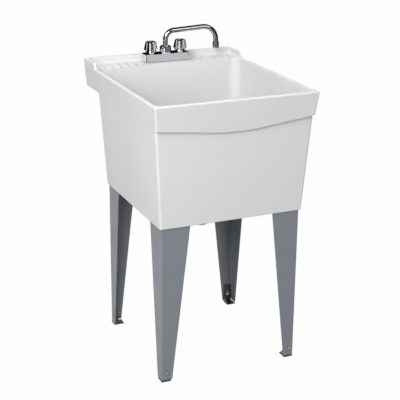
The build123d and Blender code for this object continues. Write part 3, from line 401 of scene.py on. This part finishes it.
class StudioLook(bpy.types.PropertyGroup):
    azimuth: FloatProperty(
        name="Azimuth",
        description="Direction that the camera looks in, from +Y towards +X",
        subtype="ANGLE",
        default=math.radians(24.086),
    )
    elevation: FloatProperty(
        name="Elevation",
        description="How far the camera looks down",
        subtype="ANGLE",
        default=math.radians(19.489),
    )
    roll: FloatProperty(
        name="Roll",
        description="How far the camera is turned about its own axis",
        subtype="ANGLE",
        default=math.radians(0.597),
    )
    distance: FloatProperty(
        name="Distance",
        description="From the camera to the point that it looks at",
        subtype="DISTANCE",
        unit="LENGTH",
        default=3.2737,
    )
    target: FloatVectorProperty(
        name="Target",
        description="Point that the camera looks at",
        subtype="XYZ",
        unit="LENGTH",
        size=3,
        default=(0.0, -0.0391, 0.473),
    )
    lens: FloatProperty(
        name="Lens",
        description="Focal length on a 36 mm wide frame, in millimetres",
        default=95.01,
    )
    ambient: FloatProperty(
        name="Ambient light",
        description="Strength of the even light from all round",
        default=0.0,
    )
    key: FloatProperty(
        name="Key light",
        description="Power of the large lamp over the front left",
        subtype="POWER",
        unit="POWER",
        default=86.0,
    )
    low: FloatProperty(
        name="Low light",
        description="Power of the lamp at the front left, level with the rim",
        subtype="POWER",
        unit="POWER",
        default=53.0,
    )
    fill: FloatProperty(
        name="Fill light",
        description="Power of the lamp at the front right, level with the rim",
        subtype="POWER",
        unit="POWER",
        default=31.0,
    )
    top: FloatProperty(
        name="Top light",
        description="Power of the lamp overhead",
        subtype="POWER",
        unit="POWER",
        default=25.0,
    )
    back: FloatProperty(
        name="Back light",
        description="Power of the lamp that lights the back of the tub",
        subtype="POWER",
        unit="POWER",
        default=45.0,
    )


# ---------------------------------------------------------------- operators
class SINK_OT_tub(bpy.types.Operator):
    """Gives the moulded tub its finish"""

    bl_idname = "sink.tub"
    bl_label = "Tub"

    def execute(self, context):
        finish("tub_basin", moulded_tub_plastic(context.scene.sink_tub.colour))
        return {"FINISHED"}


class SINK_OT_legs(bpy.types.Operator):
    """Gives the legs, the levelling feet and their bolts their finishes"""

    bl_idname = "sink.legs"
    bl_label = "Legs and feet"

    def execute(self, context):
        look = context.scene.sink_legs
        enamel = baked_enamel("leg_baked_enamel", look.enamel)
        foot_enamel = baked_enamel("foot_baked_enamel", look.foot_enamel)
        zinc = bright_zinc(look.zinc)
        for corner in ("front_left", "front_right", "rear_left", "rear_right"):
            finish("leg_" + corner, enamel)
            finish("foot_" + corner, foot_enamel)
        for node in ("foot_bolts", "foot_nuts"):
            finish(node, zinc)
        return {"FINISHED"}


class SINK_OT_faucet(bpy.types.Operator):
    """Gives the faucet its chrome, brass and rubber"""

    bl_idname = "sink.faucet"
    bl_label = "Faucet"

    def execute(self, context):
        look = context.scene.sink_faucet
        chrome = polished_chrome("faucet_chrome_plate", look.chrome)
        cap_chrome = polished_chrome("cap_chrome_plate", look.chrome)
        brass = turned_brass(look.brass)
        rubber = moulded_rubber(context.scene.sink_drain.rubber)
        zinc = bpy.data.materials["bright_zinc"]
        for node in ("faucet_body", "spout_nut", "spout_tube", "spout_collar", "aerator_shell"):
            finish(node, chrome)
        for side in ("hot", "cold"):
            finish(side + "_handle", chrome)
            finish(side + "_index_cap", cap_chrome)
            finish(side + "_handle_screw", zinc)
            finish(side + "_cartridge", chrome)
            finish(side + "_stem", chrome)
        finish("faucet_locknuts", brass)
        for node in ("faucet_gasket", "spout_oring", "aerator_washer"):
            finish(node, rubber)
        return {"FINISHED"}


class SINK_OT_shank_threads(bpy.types.Operator):
    """Adds the threads to the two shanks, where the supply hoses go on"""

    bl_idname = "sink.shank_threads"
    bl_label = "Shank threads"

    def execute(self, context):
        look = context.scene.sink_faucet
        mesh = bmesh.new()
        for x in SHANK_X:
            thread(
                mesh,
                x,
                SHANK_Y,
                SHANK_THREAD_BOTTOM,
                look.thread_turns,
                look.thread_pitch,
                look.thread_root,
                look.thread_crest,
            )
        chrome = bpy.data.materials["faucet_chrome_plate"]
        settle(mesh, "shank_threads", chrome, "basin")
        return {"FINISHED"}


class SINK_OT_drain(bpy.types.Operator):
    """Gives the drain fittings and the stopper their finishes"""

    bl_idname = "sink.drain"
    bl_label = "Drain"

    def execute(self, context):
        plastic = moulded_polypropylene(context.scene.sink_drain.plastic)
        rubber = bpy.data.materials["moulded_rubber"]
        for node in ("drain_flange", "drain_locknut", "tailpiece", "tailpiece_nut"):
            finish(node, plastic)
        finish("aerator_screen", plastic)
        for node in ("drain_gasket", "tailpiece_washer", "drain_stopper"):
            finish(node, rubber)
        return {"FINISHED"}


class SINK_OT_stage(bpy.types.Operator):
    """Sets up the floor, the lamps, the cards that the chrome mirrors, and the camera"""

    bl_idname = "sink.stage"
    bl_label = "Stage"

    def lamp(self, name, place, power, mirrored):
        """Square soft lamp over the tub, which the chrome mirrors or doesn't."""
        data = bpy.data.lights.new(name, "AREA")
        data.shape = "SQUARE"
        data.size = LAMP_SIDE
        data.energy = power
        lamp = bpy.data.objects.new(name, data)
        lamp.location = place
        ahead = Vector(LAMP_TARGET) - Vector(place)
        lamp.rotation_euler = ahead.to_track_quat("-Z", "Y").to_euler()
        lamp.visible_glossy = mirrored
        bpy.context.scene.collection.objects.link(lamp)

    def sheet(self, name, material, width, height, matrix):
        """Flat sheet of the stage."""
        mesh = bmesh.new()
        bmesh.ops.create_grid(mesh, x_segments=1, y_segments=1, size=0.5)
        bmesh.ops.scale(mesh, vec=(width, height, 1.0), verts=mesh.verts)
        mesh.transform(matrix)
        data = bpy.data.meshes.new(name)
        mesh.to_mesh(data)
        mesh.free()
        data.materials.append(material)
        sheet = bpy.data.objects.new(name, data)
        bpy.context.scene.collection.objects.link(sheet)
        return sheet

    def seen(self, tree):
        """1 for rays from the camera, a mirror or glass, and 0 for light on the object."""
        path = add_node(tree, "ShaderNodeLightPath")
        direct = add_node(
            tree,
            "ShaderNodeMath",
            {0: path.outputs["Is Camera Ray"], 1: path.outputs["Is Glossy Ray"]},
            operation="MAXIMUM",
        )
        return add_node(
            tree,
            "ShaderNodeMath",
            {0: direct.outputs[0], 1: path.outputs["Is Transmission Ray"]},
            operation="MAXIMUM",
        ).outputs[0]

    def floor_paper(self):
        """White seamless paper: almost plain white to the eye, with a trace of shadow."""
        material, tree = empty_material("white_paper")
        paper = add_node(tree, "ShaderNodeBsdfDiffuse", {"Color": paint("#8C8C8C")})
        glow = add_node(tree, "ShaderNodeEmission", {"Color": (1, 1, 1, 1), "Strength": 1.0})
        keep = add_node(
            tree, "ShaderNodeMath", {0: self.seen(tree), 1: PAPER_GLOW}, operation="MULTIPLY"
        )
        mix = add_node(
            tree,
            "ShaderNodeMixShader",
            {0: keep.outputs[0], 1: paper.outputs[0], 2: glow.outputs[0]},
        )
        add_node(tree, "ShaderNodeOutputMaterial", {"Surface": mix.outputs[0]})
        return material

    def sky(self, context, ambient):
        """White room: plain white to the eye, with its own strength as a source of light."""
        world = bpy.data.worlds.new("white_room")
        context.scene.world = world
        world.use_nodes = True
        tree = world.node_tree
        tree.nodes.clear()
        soft = add_node(tree, "ShaderNodeBackground", {"Color": (1, 1, 1, 1), "Strength": ambient})
        white = add_node(tree, "ShaderNodeBackground", {"Color": (1, 1, 1, 1), "Strength": 1.0})
        mix = add_node(
            tree,
            "ShaderNodeMixShader",
            {0: self.seen(tree), 1: soft.outputs[0], 2: white.outputs[0]},
        )
        add_node(tree, "ShaderNodeOutputWorld", {"Surface": mix.outputs[0]})

    def card_paper(self, name, colour):
        """Card that a studio puts round chrome, to give it dark and light lines."""
        material, tree = empty_material(name)
        card = add_node(tree, "ShaderNodeEmission", {"Color": paint(colour), "Strength": 1.0})
        add_node(tree, "ShaderNodeOutputMaterial", {"Surface": card.outputs[0]})
        return material

    def camera(self, context, look):
        """Camera at the photograph's place, from its angles, distance and lens."""
        level = math.cos(look.elevation)
        ahead = Vector(
            (
                math.sin(look.azimuth) * level,
                math.cos(look.azimuth) * level,
                -math.sin(look.elevation),
            )
        )
        right = Vector((math.cos(look.azimuth), -math.sin(look.azimuth), 0.0))
        up = right.cross(ahead)
        turned_right = right * math.cos(look.roll) + up * math.sin(look.roll)
        turned_up = up * math.cos(look.roll) - right * math.sin(look.roll)
        axes = Matrix((turned_right, turned_up, -ahead)).transposed().to_4x4()
        data = bpy.data.cameras.new("camera")
        data.lens = look.lens
        data.sensor_width = SENSOR_WIDTH
        data.clip_end = CAMERA_FAR_END
        camera = bpy.data.objects.new("camera", data)
        place = Vector(look.target) - ahead * look.distance
        camera.matrix_world = Matrix.Translation(place) @ axes
        context.scene.collection.objects.link(camera)
        context.scene.camera = camera

    def execute(self, context):
        look = context.scene.sink_studio
        below = Matrix.Translation((0, 0, -FLOOR_DROP))
        self.sheet("floor", self.floor_paper(), FLOOR_SIDE, FLOOR_SIDE, below)
        self.sky(context, look.ambient)
        # name, place, power, and False where the chrome would mirror it as a wide white band
        lamps = (
            ("key_lamp", (-1.9, -1.9, 2.6), look.key, True),
            ("low_lamp", (-2.6, -2.0, 1.5), look.low, False),
            ("fill_lamp", (2.0, -2.6, 1.5), look.fill, False),
            ("top_lamp", (0.0, 0.0, 3.0), look.top, True),
            ("back_lamp", (0.9, 3.0, 1.7), look.back, False),
        )
        for name, place, power, mirrored in lamps:
            self.lamp(name, place, power, mirrored)
        black = self.card_paper("black_card", "#0A0A0A")
        grey = self.card_paper("grey_card", "#6E7073")
        dark = self.card_paper("dark_card", "#3C3E41")
        white = self.card_paper("white_card", "#CFCFD1")
        # small flags close to the faucet, and a white card that its body mirrors: width, height,
        # middle and turn
        cards = [
            ("flag_behind", black, 0.36, 0.23, (0.045, 0.291, 0.989), (QUARTER_TURN, 0.0, 0.0)),
            ("flag_over", black, 0.56, 0.15, (0.13, 0.22, 1.1), (0.0, 0.0, 0.0)),
            ("flag_left", black, 0.15, 0.12, (-0.12, 0.25, 0.93), (0.0, QUARTER_TURN, 0.0)),
            ("flag_right", black, 0.14, 0.14, (0.24, 0.225, 0.93), (0.0, QUARTER_TURN, 0.0)),
            ("flag_under", grey, 0.36, 0.435, (0.08, 0.0175, 0.8785), (0.0, 0.0, 0.0)),
            ("card_in_bowl", white, 0.44, 0.13, (0.0, -0.08, 0.81), (QUARTER_TURN, 0.0, 0.0)),
        ]
        # upright strips in front: degrees from -Y towards +X, width, bottom and top
        strips = (
            ("strip_left", dark, -72, 3.2, 0.3, 4.0),
            ("strip_front", dark, -14, 0.9, 0.3, 4.0),
            ("strip_dark", black, 6, 1.4, 0.3, 4.0),
            ("strip_low", black, 44, 3.6, 0.0, 1.1),
        )
        for name, paper, angle, width, bottom, top in strips:
            turn = math.radians(angle)
            place = (
                STRIP_DISTANCE * math.sin(turn),
                -STRIP_DISTANCE * math.cos(turn),
                (bottom + top) / 2,
            )
            cards.append((name, paper, width, top - bottom, place, (QUARTER_TURN, 0.0, turn)))
        for name, paper, width, height, place, turn in cards:
            matrix = Matrix.Translation(place) @ Euler(turn).to_matrix().to_4x4()
            card = self.sheet(name, paper, width, height, matrix)
            card.visible_camera = False
            card.visible_diffuse = False
            card.visible_shadow = False
            card.visible_transmission = False
        self.camera(context, look)
        context.scene.view_settings.view_transform = "Standard"
        return {"FINISHED"}


class SINK_PT_panel(bpy.types.Panel):
    """Sizes, colours and steps of the laundry sink"""

    bl_idname = "SINK_PT_panel"
    bl_label = "Laundry Sink"
    bl_space_type = "VIEW_3D"
    bl_region_type = "UI"
    bl_category = "Laundry Sink"

    def draw(self, context):
        for operator in OPERATORS:
            self.layout.operator(operator.bl_idname)
        for name in LOOKS:
            look = getattr(context.scene, name)
            box = self.layout.box()
            for size in look.bl_rna.properties.keys():
                if size not in ("rna_type", "name"):
                    box.prop(look, size)


LOOKS = {
    "sink_tub": TubLook,
    "sink_legs": LegLook,
    "sink_faucet": FaucetLook,
    "sink_drain": DrainLook,
    "sink_studio": StudioLook,
}
OPERATORS = (
    SINK_OT_tub,
    SINK_OT_legs,
    SINK_OT_faucet,
    SINK_OT_shank_threads,
    SINK_OT_drain,
    SINK_OT_stage,
)


def register():
    for kind in (*LOOKS.values(), *OPERATORS, SINK_PT_panel):
        bpy.utils.register_class(kind)
    for name, kind in LOOKS.items():
        setattr(bpy.types.Scene, name, PointerProperty(type=kind))


def unregister():
    for name in LOOKS:
        delattr(bpy.types.Scene, name)
    for kind in reversed((*LOOKS.values(), *OPERATORS, SINK_PT_panel)):
        bpy.utils.unregister_class(kind)


def main():
    register()
    bpy.ops.sink.tub()
    bpy.ops.sink.legs()
    bpy.ops.sink.faucet()
    bpy.ops.sink.shank_threads()
    bpy.ops.sink.drain()
    bpy.ops.sink.stage()


if __name__ == "__main__":
    main()
